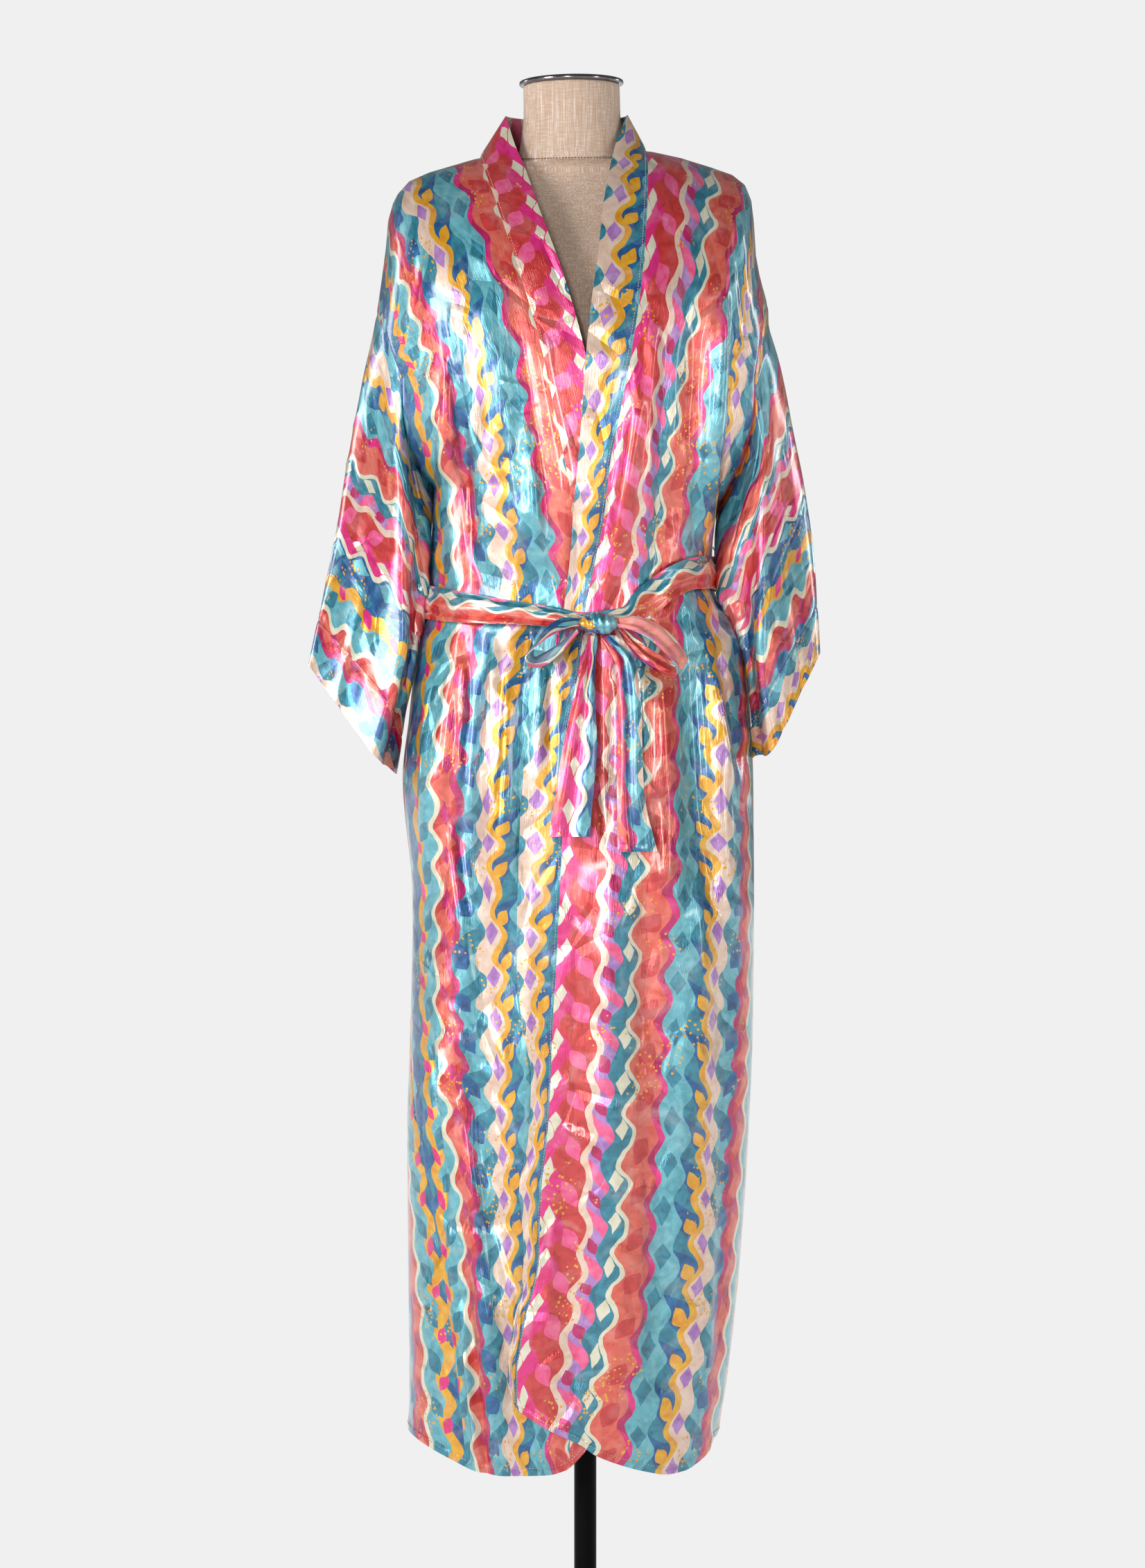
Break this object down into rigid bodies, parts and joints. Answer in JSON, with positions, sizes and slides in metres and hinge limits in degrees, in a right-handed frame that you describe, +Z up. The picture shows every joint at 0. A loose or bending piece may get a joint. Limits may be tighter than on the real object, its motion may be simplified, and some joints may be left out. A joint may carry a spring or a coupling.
{
  "type": "kimono coat on a dress form",
  "caption": "Long satin kimono coat with a wrapped front, wide open sleeves and a tied sash, worn on a limbless linen dress form with a round metal foot.",
  "frame": {"origin": "centre of the foot plate's underside, on the pole's axis", "axes": "+Z up along the pole, the coat's front faces -Y, the wearer's left is +X"},
  "size_m": [0.5628, 0.3147, 1.7326],
  "materials": {
    "satin": "satin, multicolour wavy stripes",
    "band": "satin, multicolour wavy stripes",
    "sleeve": "satin, multicolour wavy stripes",
    "sash": "satin, multicolour wavy stripes",
    "linen": "matte slubbed linen",
    "dark_chrome": "polished",
    "black_paint": "satin black"
  },
  "bodies": {
    "root": {"front_left": "satin", "front_right": "satin", "back": "satin", "neckband_left": "band", "neckband_right": "band", "sleeve_left": "sleeve", "sleeve_right": "sleeve", "cuff_left": "sleeve", "cuff_right": "sleeve", "sash": "sash", "belt_loop_left": "sash", "belt_loop_right": "sash", "bow_knot": "sash", "bow_loop_left": "sash", "bow_loop_right": "sash", "bow_tail_left": "sash", "bow_tail_right": "sash", "form_torso": "linen", "form_neck": "linen", "neck_cap": "dark_chrome", "pole": "black_paint", "pole_flange": "black_paint", "foot_hub": "black_paint", "foot_plate": "black_paint"}
  },
  "joints": []
}
